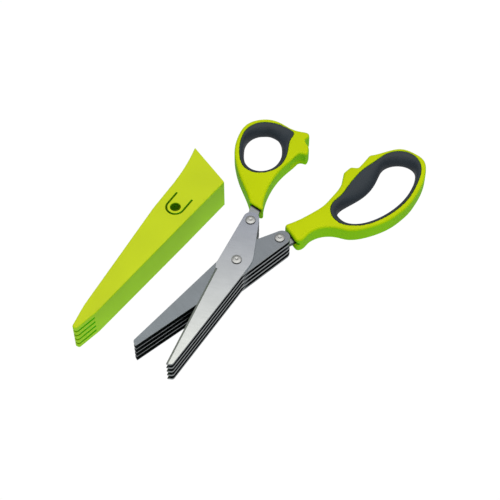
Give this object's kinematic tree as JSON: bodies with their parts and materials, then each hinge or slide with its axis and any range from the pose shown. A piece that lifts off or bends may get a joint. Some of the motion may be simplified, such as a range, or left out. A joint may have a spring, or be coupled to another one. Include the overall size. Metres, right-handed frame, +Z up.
{
  "type": "herb scissors",
  "caption": "Multi-blade herb scissors lying open, with moulded soft-lined handles and a loose latching sheath whose narrow end is a cleaning comb.",
  "frame": {"origin": "centre of the pivot rivet's flat lower head, on the surface that the scissors lie on", "axes": "+Z up, square to the blades; +Y midway between the two handles, away from the blade tips; +X towards the finger handle"},
  "size_m": [0.1101, 0.1941, 0.0192],
  "materials": {
    "blade_steel": "ground stainless steel, satin",
    "plain_steel": "rolled stainless steel, satin",
    "rivet_steel": "bright headed stainless steel",
    "handle_plastic": "moulded lime green plastic, semi-gloss",
    "grip_rubber": "moulded soft slate rubber, matt",
    "sheath_plastic": "moulded lime green plastic, semi-gloss"
  },
  "bodies": {
    "thumb_lever": {"thumb_blade_1": "blade_steel", "thumb_blade_2": "blade_steel", "thumb_blade_3": "blade_steel", "thumb_blade_4": "blade_steel", "thumb_blade_5": "blade_steel", "thumb_tang": "plain_steel", "thumb_tail_spacers": "plain_steel", "thumb_tail_rivet": "rivet_steel", "thumb_handle": "handle_plastic", "thumb_grip": "grip_rubber", "pivot_rivet": "rivet_steel", "pivot_spacers": "plain_steel"},
    "finger_lever": {"finger_blade_1": "blade_steel", "finger_blade_2": "blade_steel", "finger_blade_3": "blade_steel", "finger_blade_4": "blade_steel", "finger_blade_5": "blade_steel", "finger_tang": "plain_steel", "finger_tail_spacers": "plain_steel", "finger_tail_rivet": "rivet_steel", "finger_handle": "handle_plastic", "finger_grip": "grip_rubber"},
    "sheath": {"sheath": "sheath_plastic"}
  },
  "joints": [
    {"name": "finger_pivot", "type": "hinge", "parent": "thumb_lever", "child": "finger_lever", "pos_m": [0, 0, 0.0084], "axis": [0, 0, -1], "range_deg": [-15.8, 16]},
    {"name": "sheath_lift", "type": "slide", "parent": "thumb_lever", "child": "sheath", "axis": [0, 0, 1], "range_m": [0, 0.1]}
  ]
}
